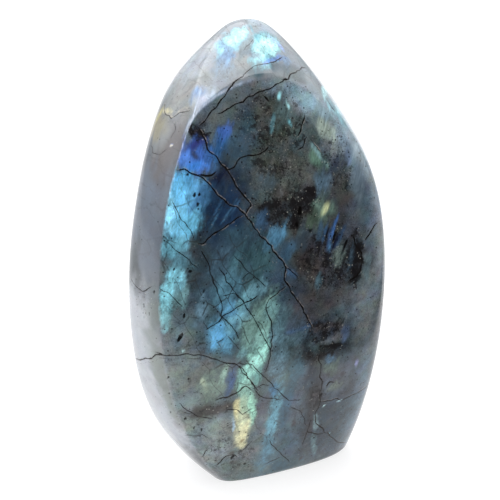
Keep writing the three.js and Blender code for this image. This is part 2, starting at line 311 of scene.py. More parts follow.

# The blue, green and gold flashes, with a few painted highlights among them.
FLASHES = {
    "front": [
        # blue of the upper left
        (-24.8, 117.4, 5.2, 4.6, 30, 0.9, (60, 96, 166)), (-27.8, 116, 2.4, 3, 20, 0.85, (78, 120, 190)),
        (-24.4, 120.6, 1.5, 3, 70, 0.85, (44, 46, 96)), (-24.4, 114.4, 1.5, 3.8, 84, 0.88, (64, 126, 204)),
        (-28.4, 110.6, 2.8, 3, 50, 0.93, (98, 182, 238)), (-20.6, 116.2, 1.8, 3, 20, 0.92, (72, 116, 190)),
        (-24.6, 118, 1.6, 0.8, 60, 0.8, (46, 48, 56)), (-16.6, 119.2, 2.8, 6.4, 32, 0.85, (52, 94, 142)),
        (-14.2, 123.2, 1.8, 3.4, 44, 0.7, (62, 92, 160)), (-11, 117, 4, 6, 42, 0.6, (44, 64, 80)),
        # sky blue down the left edge
        (-28, 105, 5.2, 7.4, 20, 0.9, (92, 156, 200)), (-31, 107.6, 2.6, 5, 16, 0.85, (112, 194, 240)),
        (-24.6, 104.4, 2, 4.6, 24, 0.8, (66, 106, 146)), (-32.4, 98.6, 4.4, 8, 12, 0.92, (118, 190, 224)),
        (-34.4, 100, 1.8, 6, 14, 0.85, (148, 220, 250)), (-28.6, 97, 3, 4.8, 24, 0.88, (104, 176, 208)),
        (-34.2, 91, 3.8, 3.2, 0, 0.85, (100, 156, 174)), (-34.8, 79.6, 3, 4.8, 14, 0.94, (138, 208, 228)),
        (-32, 74.5, 2.4, 3.6, 10, 0.8, (98, 134, 140)), (-32.8, 85.8, 4.4, 2.6, 0, 0.85, (78, 116, 130)),
        (-36.4, 75, 2.2, 5.6, 12, 0.92, (136, 204, 218)), (-37, 69.4, 1.9, 4, 6, 0.88, (124, 172, 180)),
        (-31.8, 56.5, 0.5, 0.6, 0, 0.9, (190, 230, 232)),
        # navy in the middle
        (-17, 101, 6.5, 5.5, 60, 0.85, (20, 36, 58)), (-19, 105, 5, 3, 70, 0.8, (26, 44, 64)),
        (-15, 97, 5.5, 2.6, 70, 0.7, (26, 44, 66)), (-17.4, 111.6, 3.6, 3.2, -30, 0.92, (18, 24, 40)),
        (-23.2, 105, 1.8, 4, 24, 0.7, (58, 100, 136)), (-16, 99.5, 0.35, 4, 40, 0.7, (64, 102, 134)),
        (-19.4, 101, 0.3, 4, 36, 0.6, (60, 96, 130)), (-13.6, 101, 0.3, 3, 44, 0.6, (58, 90, 120)),
        (-20.6, 97.6, 0.35, 3.4, 34, 0.6, (66, 106, 136)),
        # brushed teal
        (-11, 89, 7, 6, 28, 0.7, (46, 68, 80)), (-7, 83, 5, 7, 34, 0.75, (54, 80, 86)),
        (-14.5, 84, 1.6, 7, 26, 0.6, (74, 112, 124)), (-20, 83, 4, 7, 20, 0.7, (62, 86, 102)),
        (-17.2, 76, 4.6, 6, 24, 0.8, (78, 118, 136)), (-18.6, 61, 4.8, 7.4, 4, 0.92, (94, 148, 178)),
        (-20.4, 61, 2.2, 4.6, 10, 0.85, (100, 166, 210)), (-14.2, 65.6, 3.2, 4.6, 24, 0.8, (112, 164, 182)),
        (-16.6, 68.6, 3.6, 2.6, 60, 0.8, (92, 146, 178)), (-10.4, 72.8, 2.4, 4.8, 36, 0.9, (112, 164, 178)),
        (-7.4, 74.6, 2.6, 4.2, 50, 0.82, (104, 146, 160)),
        (-7.4, 62.6, 4.8, 9.4, 26, 0.85, (110, 144, 138)), (-12.2, 53, 2, 3, 30, 0.75, (112, 154, 160)),
        (-2.6, 68, 3.2, 4.6, 34, 0.8, (108, 148, 150)), (-4, 70.2, 0.5, 2, 44, 0.8, (150, 190, 184)),
        # blue strokes beside the long crack
        (-0.6, 90.6, 3, 5, 40, 0.85, (78, 122, 150)), (-2.6, 91.6, 0.8, 3.4, 36, 0.6, (90, 134, 162)),
        (-5, 96, 2.4, 3, 20, 0.7, (56, 84, 112)), (2.6, 84.6, 2.4, 4.6, 35, 0.75, (56, 84, 106)),
        (8, 87, 3.2, 3.6, 20, 0.75, (44, 54, 62)), (4.4, 77.3, 0.9, 2, -40, 0.75, (60, 86, 114)),
        # mint and gold flame
        (-8.4, 48, 3.2, 9.6, 30, 0.95, (124, 176, 168)), (-7.5, 50, 2.6, 5.4, 36, 0.95, (178, 238, 226)),
        (-10.6, 44, 1.1, 4.6, 20, 0.85, (150, 206, 194)), (-6.6, 44, 1.3, 4, 10, 0.8, (92, 138, 134)),
        (-6.6, 57.6, 2.6, 4.4, 26, 0.82, (134, 178, 172)),
        (-10.4, 38.4, 2.6, 4.6, 14, 0.9, (140, 186, 172)), (-10.4, 33, 2.2, 5, 0, 0.88, (150, 174, 150)),
        (-7.7, 31, 1.5, 6.4, -6, 0.92, (150, 202, 182)), (-12.9, 31.6, 1.2, 4.6, -4, 0.88, (198, 192, 146)),
        (-10.6, 26, 2.5, 4.2, -8, 0.92, (182, 190, 160)), (-9.9, 21, 2.5, 5.2, 4, 0.95, (188, 186, 150)),
        (-13.4, 25.4, 0.5, 2.6, -8, 0.85, (150, 176, 196)), (-9.7, 18.7, 0.6, 0.8, 40, 0.8, (96, 74, 44)),
        # pale flashes of the lower left
        (-24.8, 44, 1, 2.4, -20, 0.8, (170, 182, 156)), (-18.6, 45.6, 1, 3.8, 12, 0.88, (146, 178, 166)),
        (-22, 42.5, 5, 5, 10, 0.6, (100, 120, 110)), (-15.9, 44.2, 1.6, 5.2, 8, 0.85, (56, 80, 116)),
        (0.5, 47, 3, 6, 10, 0.75, (98, 128, 142)), (0, 56, 3, 3.4, 20, 0.8, (98, 130, 144)),
        (4, 54, 3.4, 5, 60, 0.7, (86, 112, 122)), (-26, 69, 2.2, 5, 10, 0.75, (90, 118, 134)),
        # blue strip of the lower middle
        (0.6, 25, 2.4, 15, 3, 0.85, (90, 134, 150)), (-0.4, 11, 3.4, 9, 0, 0.7, (66, 96, 112)),
        (7, 3.2, 3.2, 7, 84, 0.75, (40, 62, 74)), (-0.6, 37, 1.8, 3.4, 0, 0.7, (72, 116, 150)),
        (4.8, 30, 2.2, 9, 2, 0.7, (50, 78, 96)), (6.5, 42, 3, 8, 4, 0.6, (58, 88, 102)),
        # teal and cyan specks of the top
        (6, 127, 3.6, 5, 14, 0.6, (72, 92, 94)), (5.2, 131.6, 0.6, 1.3, 24, 0.85, (140, 196, 204)),
        (7.8, 129, 0.45, 1.2, -10, 0.9, (170, 220, 226)),
        (7.6, 123.6, 0.6, 1.4, -14, 0.85, (118, 184, 196)), (1.5, 124, 0.7, 2.2, 20, 0.6, (88, 130, 140)),
        (19.8, 119.8, 2.6, 4.6, -28, 0.85, (162, 178, 168)),
        (15.6, 111.4, 2.4, 3.2, -40, 0.75, (92, 122, 108)),
        (19.5, 125.5, 2.2, 3.4, -30, 0.7, (150, 176, 188)),
        (16.4, 113, 0.7, 3.6, -34, 0.8, (128, 164, 168)), (-1.6, 107.4, 3.4, 3.4, 0, 0.7, (66, 82, 92)),
        (16.6, 104.4, 3.2, 3.6, 0, 0.75, (84, 108, 126)),
        # yellow spark with green round it
        (16, 95.5, 3.8, 5, 25, 0.8, (98, 122, 112)), (11.8, 94.5, 2.8, 3, 20, 0.8, (62, 76, 66)),
        (17.4, 97.2, 0.9, 2.6, 30, 0.95, (206, 214, 168)), (15.8, 95.6, 0.6, 2.2, 26, 0.7, (162, 178, 142)),
        # blue streaks under it
        (18.8, 87.6, 1, 4.2, 22, 0.85, (54, 80, 118)), (16.4, 89, 0.6, 3.4, 24, 0.8, (52, 80, 112)),
        (20.2, 90.5, 0.5, 3, 22, 0.75, (72, 112, 172)), (22.2, 86.5, 1.2, 3.6, 28, 0.8, (52, 72, 98)),
        (15, 90.5, 1.2, 3, 20, 0.8, (58, 80, 100)), (18.2, 84.5, 0.8, 2, 20, 0.8, (82, 122, 158)),
        (21.6, 80.5, 2.6, 4, 15, 0.8, (108, 124, 120)), (26, 78.5, 1.2, 4.6, 15, 0.75, (66, 84, 98)),
        (17.4, 88.8, 0.5, 2.6, 24, 0.95, (12, 14, 24)), (20.8, 86.4, 0.7, 3.4, 28, 0.95, (14, 18, 34)),
        (23.6, 83, 0.5, 3, 30, 0.9, (14, 18, 26)), (11.2, 90.6, 0.8, 0.8, 0, 0.95, (8, 8, 10)),
        # pale rim of the upper right
        (23.6, 127.6, 1.8, 4, -30, 0.9, (130, 182, 194)),
        (26.8, 123.5, 1.4, 4.4, -28, 0.85, (104, 146, 156)), (23, 110.4, 2.6, 2.4, -10, 0.7, (44, 52, 70)),
        (26.8, 110.6, 1.3, 2.2, 0, 0.7, (104, 122, 150)), (30.4, 100.5, 3, 6.6, 0, 0.7, (88, 102, 112)),
        (31.5, 110, 3, 6.6, -20, 0.6, (130, 146, 156)), (13.6, 73, 1.2, 3.6, 10, 0.8, (80, 106, 118)),
        (32.5, 74.5, 1.4, 5.6, 5, 0.7, (96, 116, 124)), (24.2, 53, 1.6, 2.8, 0, 0.8, (72, 88, 114)),
        (7.5, 59, 4, 4.4, 50, 0.7, (66, 80, 94)), (8, 58.2, 0.8, 4.4, 84, 0.6, (70, 96, 128)),
        (0.5, 62, 3, 7, 24, 0.6, (88, 120, 130)), (20.6, 41.6, 2.8, 3, 0, 0.7, (84, 100, 92)),
        (19.4, 44.8, 1.8, 1.4, 0, 0.75, (80, 112, 136)), (22.2, 33, 2.8, 1.8, 0, 0.7, (88, 100, 92)),
        (17.2, 19.6, 1.2, 3, -16, 0.8, (98, 122, 128)), (18.8, 9, 1, 5, -14, 0.7, (80, 104, 110)),
        (30.5, 39.6, 0.7, 1.4, 0, 0.88, (134, 140, 184)), (25, 37.2, 1.2, 1, 40, 0.8, (46, 44, 52)),
        # Painted highlights: the small white-cyan marks at (19.4, 26.1), (25.6, 26.2) and (24.2, 12.7) are
        # glints where the cracks beside them catch the light.
        (19.4, 26.1, 0.35, 0.8, 60, 0.85, (180, 212, 214)),
        (25.6, 26.2, 0.3, 1.5, -76, 0.85, (180, 214, 220)),
        (24.2, 12.7, 0.3, 0.6, -40, 0.8, (150, 196, 206)), (31, 18, 3.6, 12, 0, 0.4, (58, 78, 90)),
    ],
    "left": [
        (7, 127, 0.9, 3.6, 80, 0.9, (176, 170, 138)), (12, 126.4, 0.4, 1.8, 84, 0.8, (158, 152, 138)),
        (14.6, 129.2, 0.5, 1.8, 40, 0.85, (160, 154, 142)),
        (17.2, 130.2, 0.5, 1.2, 80, 0.85, (172, 160, 146)), (3, 124, 1.6, 2.6, 10, 0.75, (120, 116, 84)),
        (19.3, 119.6, 0.4, 0.6, 60, 0.9, (184, 180, 168)),
        (16.6, 134.8, 1, 2.2, -36, 0.85, (120, 160, 196)),
    ],
    "peak": [
        (-3.4, -4.6, 3.3, 8.6, 56, 0.92, (102, 150, 166), 0.6),
        (-2.8, -4, 2.5, 6.2, 56, 0.9, (144, 190, 190), 0.6), (-6.6, -8.6, 2, 4, 16, 0.85, (92, 132, 158)),
        (-8, -9.8, 2.4, 4.2, 40, 0.85, (80, 106, 138)), (6, -7.8, 4.3, 9.4, 40, 0.95, (98, 150, 162), 0.6),
        (8.8, -6, 3, 5, 30, 0.92, (148, 194, 196), 0.6),
        (3.6, -10.2, 1.8, 4, 44, 0.85, (136, 184, 186), 0.7), (11.4, -4, 1.2, 3, -30, 0.7, (118, 140, 188)),
        (7.4, -12.5, 0.8, 5.4, 66, 0.85, (78, 112, 168)),
        (-0.6, -8.4, 1.7, 5.4, 46, 0.9, (84, 98, 104), 0.7), (0.5, -11, 3.6, 1.6, 20, 0.8, (78, 96, 110)),
        (-10, -13, 5, 3, 60, 0.6, (88, 104, 116)), (-19.6, -15.6, 2.2, 2.8, 45, 0.88, (80, 104, 134)),
        (11.5, -12.5, 2, 3.5, 30, 0.7, (92, 116, 142)), (25, -14, 0.9, 6.5, 32, 0.9, (168, 208, 214)),
        (28, -17, 0.9, 5.5, 32, 0.85, (152, 196, 204)),
    ],
    "right": [
        (-13, 84, 6, 20, 12, 0.75, (64, 90, 110)), (-13, 88, 2.6, 10, 12, 0.8, (86, 136, 170)),
        (2, 64, 7, 18, 14, 0.7, (58, 82, 92)), (0, 60, 2.2, 8, 16, 0.8, (88, 138, 150)),
        (10, 98, 5, 13, 14, 0.75, (58, 76, 112)), (10.5, 102, 1.8, 6, 14, 0.8, (76, 108, 176)),
        (14, 46, 5, 12, 14, 0.7, (82, 104, 96)), (14, 43, 1.6, 5, 14, 0.75, (134, 156, 128)),
        (-15, 38, 5, 15, 8, 0.7, (60, 82, 94)),
    ],
    "back": [
        # a broad brushed blue, bright along its middle
        (8, 92, 9, 22, 20, 0.8, (54, 80, 104)), (10, 97, 5, 13, 22, 0.85, (70, 120, 168)),
        (12.4, 102, 2.4, 7, 24, 0.85, (100, 162, 210)), (4, 80, 3.6, 9, 22, 0.8, (58, 92, 150)),
        (2.4, 84, 1.4, 5, 22, 0.7, (66, 88, 180)),
        # teal beside it
        (-11, 74, 8, 17, 18, 0.75, (58, 90, 100)), (-12, 69, 4, 9, 18, 0.85, (96, 156, 166)),
        (-9, 80, 1.8, 6, 20, 0.8, (122, 182, 188)), (-22, 96, 5, 12, 16, 0.7, (62, 90, 124)),
        (-24, 52, 4, 11, 12, 0.65, (78, 108, 122)),
        # green and gold low down
        (-14, 41, 5.4, 12, 12, 0.75, (86, 108, 98)), (-13, 42, 2.2, 7, 12, 0.85, (140, 162, 138)),
        (-11.4, 35, 1.2, 4, 12, 0.8, (178, 168, 118)),
        # slate blues of the other half
        (4, 48, 7, 12, 16, 0.75, (56, 78, 94)), (17, 59, 6, 14, 14, 0.75, (62, 88, 104)),
        (18, 56, 2.6, 8, 14, 0.8, (88, 140, 170)), (26, 86, 4, 12, 16, 0.7, (58, 76, 118)),
        (28, 38, 5, 10, 12, 0.65, (82, 102, 112)), (0, 120, 6, 9, 26, 0.7, (78, 108, 130)),
    ],
}

# Where the stone is broken and sooty between its grains.
RUBBLE = {
    "front": [
        (0, 60, 50, 90, 0, 0.15), (4, 99, 14, 6.5, -8, 0.8), (6.8, 94.6, 2.4, 5.6, 14, 1),
        (12.6, 101, 4, 2.4, 70, 1), (24, 104, 5, 4, 0, 0.6), (20, 112, 8, 10, 0, 0.45),
        (1, 118, 13, 17, 0, 0.6), (18, 80, 13, 13, 0, 0.75), (28, 78, 3.4, 10, 4, 1),
        (16, 56, 11, 5.5, 0, 0.7), (18, 48, 3.2, 9, 86, 0.8), (20, 18, 12, 22, 0, 0.15),
        (15.5, 30, 3.2, 7, 0, 0.7), (-20.6, 33, 2.6, 6, 88, 0.5), (-20, 100, 9, 8, 20, 0.1),
        (-23, 124, 4, 3, 40, 0.9), (-14, 14, 12, 12, 0, 0.4),
    ],
    "left": [
        (12, 127, 3, 10, 84, 0.6), (25, 74, 5, 7, 0, 0.5), (26, 30, 4, 16, 0, 0.3),
    ],
    "peak": [
        (-11, -15, 3, 7, 70, 0.5), (8, 0, 8, 4, 60, 0.3),
    ],
    "right": [
        (0, 70, 40, 80, 0, 0.15), (8, 34, 10, 14, 10, 0.6), (12, 84, 7, 12, 12, 0.5),
    ],
    "back": [
        (0, 70, 60, 80, 0, 0.12), (14, 96, 14, 22, 18, 0.6), (-2, 76, 12, 6, 60, 0.9),
        (-16, 52, 12, 22, 14, 0.5),
    ],
}

# Where it is netted with hair cracks.
HAIR_CRACKS = {
    "front": [
        (0, 60, 50, 90, 0, 0.25), (-17, 66, 18, 36, -8, 1), (-4, 30, 14, 22, 0, 0.6),
        (-32, 88, 9, 24, 0, 0.8),
    ],
    "left": [(18, 110, 20, 30, 0, 0.25)],
    "peak": [(0, -6, 40, 30, 0, 0.35)],
    "right": [(0, 70, 40, 80, 0, 0.4)],
    "back": [
        (0, 70, 60, 80, 0, 0.3), (-8, 56, 20, 34, 10, 0.9),
    ],
}

# A crack is its full width, how bright the pale line beside it is, 0 to 1, which is partly healed filling
# and partly a painted highlight where its edge catches the light, and the points on its face's chart that
# it runs through.
Crack = namedtuple("Crack", "width pale path")

CRACKS = {
    "front": [
        (0.38, 0.5, [(-30.7, 113.8), (-28.2, 113.8), (-25.4, 112.3), (-23, 110.6), (-20.2, 107.6),
            (-17.7, 104), (-14.9, 101.5), (-12.7, 100.4), (-10.4, 98.2), (-7.7, 94), (-5.2, 90.4),
            (-2.1, 86.5), (0.2, 82.9), (2.2, 79.6), (1.3, 76.2), (3, 72.9), (5.2, 69.6), (7.4, 65.7),
            (9.7, 61.8), (11.3, 57.9)]),
        (0.3, 0.4, [(2.2, 79.6), (4.1, 78.7), (6.3, 75.7)]),
        (0.4, 0.5, [(-22.1, 125.3), (-20.7, 120.9), (-20.2, 118.7), (-17.7, 115.9), (-15.7, 113.4),
            (-13.2, 108.7), (-10.4, 104.2), (-8.2, 100.9), (-10.5, 98.5)]),
        (0.5, 0, [(-24.9, 112), (-22.6, 111.2), (-19.9, 111.3), (-18.6, 112.4)]),
        (0.34, 0.2, [(-22.1, 125.9), (-19.9, 127.6), (-17.1, 129.8), (-14.3, 131.7), (-12.7, 133.4),
            (-9.9, 135.9), (-6.4, 137.6)]),
        (0.36, 0.2, [(-16, 128.9), (-12.7, 129.8), (-9.9, 130.9), (-7.1, 131.4), (-4.9, 132.8),
            (-1.6, 133.4), (1.3, 133.9), (4.4, 134.8), (9, 136.6)]),
        (0.5, 0, [(0.2, 132.6), (1.6, 130.3)]),
        (0.34, 0.1, [(-15.7, 112.6), (-12.1, 112.8), (-11.8, 114.8), (-9.9, 115.6), (-4.3, 115.6),
            (-2.1, 116.7), (-0.4, 117.8)]),
        (0.36, 0.4, [(-11.6, 98.2), (-14.9, 96.8), (-18.2, 95.1), (-20.4, 94), (-22.7, 92.6), (-24.3, 91.2),
            (-26.6, 91.5)]),
        (0.28, 0, [(-25.1, 89), (-23.4, 84.6), (-22.4, 81.3), (-21.6, 77.3), (-20.2, 72.9), (-19.3, 70.7),
            (-19.6, 67.3), (-17.1, 64), (-14.6, 60.7), (-13.8, 57.9)]),
        (0.28, 0, [(-19.9, 83.4), (-17.7, 78.4), (-15.4, 74.6), (-12.7, 71.2), (-10.4, 67.3), (-7.7, 61.8),
            (-4.9, 56.8), (-2.9, 51.8)]),
        (0.34, 0, [(-24.9, 62.9), (-22.7, 64), (-20.4, 65.1), (-19.3, 67.1), (-16, 68.2), (-12.7, 70.1),
            (-9.9, 70.9), (-7.1, 72.3)]),
        (0.3, 0.2, [(2, 73.7), (-1.6, 71.8), (-4.3, 69.6), (-4.9, 68.4), (-4.6, 66.2), (-3.2, 62.9),
            (-2.4, 57.9), (-3.2, 52.3), (-3.2, 49.6), (-4.1, 44.6)]),
        (0.22, 0, [(-36, 92.9), (-33.2, 89.6), (-29.9, 86.8), (-26.4, 83)]),
        (0.22, 0, [(-15.1, 86.5), (-12, 82.1), (-8.9, 78.4), (-4.5, 74.6)]),
        (0.2, 0, [(-13, 78), (-11, 79.6), (-8.6, 80.4)]),
        (0.2, 0, [(-19.5, 73.4), (-15.1, 74), (-13, 71.5)]),
        (0.2, 0, [(-38.6, 78.6), (-35.4, 75.4), (-32, 71.2)]),
        (0.2, 0, [(-33.2, 104.8), (-31.6, 100.6), (-28.8, 96.6), (-27.2, 92.4)]),
        (0.34, 0.1, [(-39.9, 55.7), (-34.9, 55.1), (-29.9, 55.1), (-26.6, 54.6), (-22.7, 53.2),
            (-19.3, 51.2), (-17.7, 50.1), (-14.9, 49.6), (-12.7, 48.2), (-10.4, 44.6), (-8.2, 41.2),
            (-6, 37.9)]),
        (0.28, 0, [(-14.2, 49.4), (-12.2, 48.9), (-10.2, 49.2), (-8, 47), (-4.7, 43.1), (-1.9, 39.8),
            (0.9, 36.6), (3.3, 33.6), (5.8, 31.3), (10, 31.3)]),
        (0.3, 0, [(-14.1, 49.2), (-10.2, 43.7), (-6.9, 37.4), (-4.7, 35.3), (0.3, 33.7), (2, 33)]),
        (0.26, 0, [(-8.6, 38.7), (-5.2, 40.1), (-1.9, 39.8)]),
        (0.45, 0, [(-20.8, 37), (-17.4, 37.3), (-14.1, 38.4), (-10.8, 40.3), (-8.6, 38.7)]),
        (0.28, 0, [(-32.4, 37.5), (-30, 35), (-27.4, 32.5), (-24.7, 30.9), (-21, 29.6)]),
        (0.26, 0, [(-31, 33.6), (-27.4, 32.5)]),
        (0.3, 0, [(-16.9, 33.1), (-13.6, 32.3), (-10.8, 29.8), (-9.4, 30.4), (-7.4, 31.2)]),
        (0.2, 0, [(-29.1, 23.1), (-26.4, 23.9), (-24.1, 23.7), (-21.3, 22.3)]),
        (0.34, 0, [(-20.4, 17.6), (-21.6, 16.4), (-21.8, 14.6), (-22.4, 13)]),
        (0.4, 0, [(-17, 9), (-15.8, 10.9), (-14.1, 13.1), (-12.2, 13), (-10.2, 12)]),
        (0.24, 0, [(-10.2, 13.6), (-8.2, 14.8), (-6, 17.6)]),
        (0.34, 0, [(15.3, 48), (14.9, 45.6), (15.9, 42.9), (16.1, 38.8), (17.2, 35.4), (16.7, 32),
            (17.8, 28.4), (16.9, 25.8), (16.7, 22.4), (17.8, 19.1), (20.6, 16.3), (22.2, 14.1),
            (23.9, 12.4), (26.7, 9.1), (30, 6.3), (34.4, 3.6)]),
        (0.34, 0.3, [(16.9, 28.6), (18.6, 28), (22.2, 27.4), (24.4, 27.2), (27.2, 26.1), (31.1, 26.9),
            (36.1, 27.7), (38.9, 28)]),
        (0.34, 0, [(15.8, 21.3), (14.8, 21), (14.6, 16.9), (16.7, 14.7), (18.9, 13.6), (22.2, 13.9)]),
        (0.34, 0, [(14.6, 16.9), (14, 13.6), (14.1, 10.6)]),
        (0.22, 0, [(6.1, 29.7), (10, 26.3), (12.8, 21.3), (13.9, 19.1)]),
        (0.22, 0, [(0, 16.9), (3.3, 12.4), (6.1, 9.1), (10, 3.6)]),
        (0.26, 0, [(0, 5.5), (3.3, 6.6), (6.1, 7.4)]),
        (0.5, 0, [(19.3, 33.4), (19.5, 34.9), (20.5, 35.6), (22.2, 34.8)]),
        (0.55, 0, [(26.3, 86.2), (28, 82.3), (30.2, 79.6), (29.9, 73.4), (24.7, 70.7)]),
        (0.5, 0, [(36.9, 88.2), (34.1, 85.9), (31.3, 83.4)]),
        (0.45, 0.5, [(12.8, 125.6), (12.2, 124.2), (11.1, 122.4), (10.6, 120.6), (9.7, 119.4)]),
        (0.35, 0.1, [(13, 119.2), (11.3, 116.4), (9.1, 115.3)]),
        (0.12, 1, [(13.8, 118.7), (15.2, 115.9), (17.4, 113.7)]),
        (0.22, 0, [(22.6, 128.6), (23.3, 127), (25.2, 124.4)]),
    ],
    "left": [
        (0.35, 0, [(15, 49), (20, 50.5), (25, 53), (28, 55), (31, 55.4)]),
        (0.3, 0, [(17, 79), (20, 76.4), (24, 75.6), (28, 78)]),
        (0.2, 0.5, [(2, 127.6), (7, 126.2), (12, 126), (15.4, 128.6), (19, 130)]),
        (0.16, 0, [(8, 117), (12, 115.8), (16, 116), (18.5, 118.5)]),
        (0.16, 0, [(15.4, 126), (17.6, 123.8), (17.8, 121)]),
    ],
    "peak": [
        (0.26, 0.2, [(-13.4, -20.6), (-9.3, -19), (-4.3, -17.3), (-0.6, -15.3), (4, -14.7), (8.2, -13.2),
            (11.5, -10.7)]),
        (0.3, 0.2, [(0, -21.4), (5, -20.2), (9.5, -18.6), (13.5, -15.8), (17, -12.6), (19.4, -10.4)]),
        (0.18, 0, [(-1.5, -9), (0.2, -7.4), (2.2, -6.2), (4, -4.4)]),
    ],
    "right": [
        (0.45, 0.1, [(-20, 27), (-12, 28.5), (-4, 26), (3, 30), (9, 36), (12, 44)]),
        (0.3, 0, [(-4, 26), (0, 18), (6, 11)]),
        (0.35, 0.2, [(-12, 92), (-6, 86), (2, 82), (6, 74)]),
    ],
    "back": [
        (0.5, 0.3, [(-32, 60), (-24, 63), (-17, 61), (-10, 66), (-2, 72), (4, 80), (6, 89), (12, 97),
            (16, 107)]),
        (0.35, 0, [(-2, 72), (4, 68), (12, 66), (19, 59), (24, 50)]),
        (0.3, 0, [(-17, 61), (-16, 52), (-12, 45), (-12, 36), (-8, 28)]),
        (0.4, 0.1, [(28, 30), (20, 27), (12, 29), (3, 25), (-6, 26), (-14, 20)]),
        (0.3, 0, [(3, 25), (6, 16), (4, 8)]),
        (0.35, 0.2, [(-14, 112), (-8, 106), (-4, 97), (4, 93)]),
        (0.3, 0, [(-28, 84), (-20, 80), (-14, 84), (-8, 82)]),
    ],
}

# A pit is a small hollow: its middle on the chart, half width, half height, lean and depth.
PITS = {
    "front": [
        (-32.6, 61.6, 0.6, 1.9, 28, 0.5), (-31.5, 68.5, 0.45, 0.9, 10, 0.25), (-25, 76, 0.35, 0.9, 5, 0.2),
        (-25, 72.2, 0.35, 0.8, 0, 0.2), (-29.2, 82.6, 0.5, 0.9, 10, 0.25), (-27.4, 112.2, 0.5, 0.5, 0, 0.2),
        (-26, 106, 0.5, 0.8, 20, 0.3), (-24.5, 106, 0.5, 0.7, 0, 0.3), (-25.3, 103, 0.5, 0.8, 10, 0.25),
        (-34, 84, 0.4, 0.8, 0, 0.2), (-36, 47, 0.4, 0.6, 20, 0.2), (-29.7, 30.9, 0.5, 0.7, 20, 0.25),
        (-26.6, 26.7, 0.35, 0.8, 0, 0.2), (-29.7, 46.2, 0.6, 0.4, 20, 0.2), (17.5, 31, 0.8, 1, 0, 0.2),
        (17.8, 12.7, 0.5, 0.5, 0, 0.2), (-24.1, 25.9, 0.4, 0.8, 0, 0.2), (-12, 12, 0.6, 0.9, 30, 0.25),
        (-7, 8, 0.7, 0.6, 0, 0.2), (8, 97, 0.8, 1.4, 10, 0.35), (6.5, 93, 0.6, 1.2, -20, 0.3),
        (24, 84, 0.5, 2.2, 25, 0.2), (19.6, 86.5, 0.5, 2.6, 22, 0.2), (17, 88, 0.4, 2, 22, 0.15),
    ],
    "left": [
        (25, 71, 0.3, 0.9, 15, 0.15), (28.6, 76.6, 0.4, 0.7, 0, 0.2), (24.4, 68.5, 0.25, 0.8, 20, 0.12),
        (27, 69, 0.25, 0.9, 10, 0.12), (27.5, 41, 0.3, 0.7, 10, 0.15), (25, 33, 0.3, 0.8, 20, 0.15),
    ],
    "back": [
        (4, 70.5, 0.8, 1.4, 20, 0.4), (-12, 48, 0.6, 1, 0, 0.3), (18, 82, 0.6, 1.1, 15, 0.3),
        (-22, 66, 0.5, 0.9, 0, 0.25), (10, 40, 0.6, 0.8, 0, 0.25),
    ],
}

# ---- The stone's surface ----


def smoothstep(low, high, value):
    """0 below low, 1 above high, and the cubic 3t^2 - 2t^3 between them."""
    t = np.clip((value - low) / (high - low), 0, 1)
    return t * t * (3 - 2 * t)


def directions(turn, tilt):
    """Unit vectors that point turn radians round from +X and tilt radians up from level."""
    level = np.cos(tilt)
    return np.stack([np.cos(turn) * level, np.sin(turn) * level, np.sin(tilt) + 0 * turn], axis=-1)


def pressure(points):
    """The sum over the cuts of exp(overshoot / softness), and its slope.

    A point's overshoot is its height over the face plus the square of its distance across the face
    over twice the crown's radius, both ways. The sum is 1 on the surface and more outside it.
    """
    depth = np.clip(1 - points[..., 2] / CRISP_ABOVE, 0, 1)
    wear = 1 + EXTRA_SOFTNESS_AT_FOOT * depth
    offset = points - HEART
    total = np.zeros(points.shape[:-1])
    slope = np.zeros(points.shape)
    for cut in CUTS.values():
        outward = directions(np.radians(cut.turn), np.radians(cut.tilt))
        across = np.cross((0, 0, 1), outward)
        across /= np.linalg.norm(across)
        upward = np.cross(outward, across)
        sideways = offset @ across
        lengthways = offset @ upward
        overshoot = offset @ outward - cut.reach
        overshoot += sideways ** 2 / (2 * cut.crown_across) + lengthways ** 2 / (2 * cut.crown_up)
        part = np.exp(np.minimum(overshoot / (cut.softness * wear), HIGHEST_POWER))
        total += part
        lean = outward + sideways[..., None] * across / cut.crown_across
        lean = lean + lengthways[..., None] * upward / cut.crown_up
        slope += (part / cut.softness)[..., None] * lean
    return total, slope


def surface_points(start, rays):
    """Where rays from inside the stone cross its surface, found by halving the interval."""
    inside = np.zeros(rays.shape[:-1])
    outside = np.full(rays.shape[:-1], LONGEST_RAY)
    for _ in range(HALVINGS):
        middle = (inside + outside) / 2
        is_out = pressure(start + rays * middle[..., None])[0] > 1
        outside = np.where(is_out, middle, outside)
        inside = np.where(is_out, inside, middle)
    return start + rays * inside[..., None]


def ring_points(climb, turns):
    """The stone's points at each climb (0 at the foot, 1 at the apex) and turn.

    Rays leave the spine at the climb's height, tilted up by a quarter turn times climb ** FAN_POWER.
    """
    start = SPINE_FOOT + climb[:, None, None] * (SPINE_TOP - SPINE_FOOT)
    tilt = (math.pi / 2) * climb[:, None] ** FAN_POWER
    return surface_points(start, directions(turns[None, :] + 0 * tilt, tilt + 0 * turns[None, :]))


def even_steps(points, weights, count):
    """Positions in 0 to 1 that divide a line of points into count steps of equal weighted length."""
    lengths = np.linalg.norm(np.diff(points, axis=0), axis=1) * weights
    travelled = np.concatenate([[0], np.cumsum(lengths)]) / lengths.sum()
    return np.interp(np.arange(count) / count, travelled, np.linspace(0, 1, len(travelled)))


def stone_grid():
    """Rings of points from the bevel up to the apex, evenly spaced along the girth and the height."""
    trial = np.linspace(0, 1, TRIAL_STEPS + 1)
    trial_turns = 2 * math.pi * trial
    girth = ring_points(np.array([GIRTH_CLIMB]), trial_turns)[0]
    facing_front = -np.sin(trial_turns[:-1] + FRONT_LEAN)
    weights = 1 + (FRONT_DENSITY - 1) * smoothstep(*FRONT_FADE, facing_front)
    turns = 2 * math.pi * even_steps(girth, weights, COLUMNS)
    meridian = ring_points(trial, np.array([MERIDIAN_TURN]))[:, 0]
    climbs = even_steps(meridian, 1, ROWS)
    return ring_points(climbs, turns)


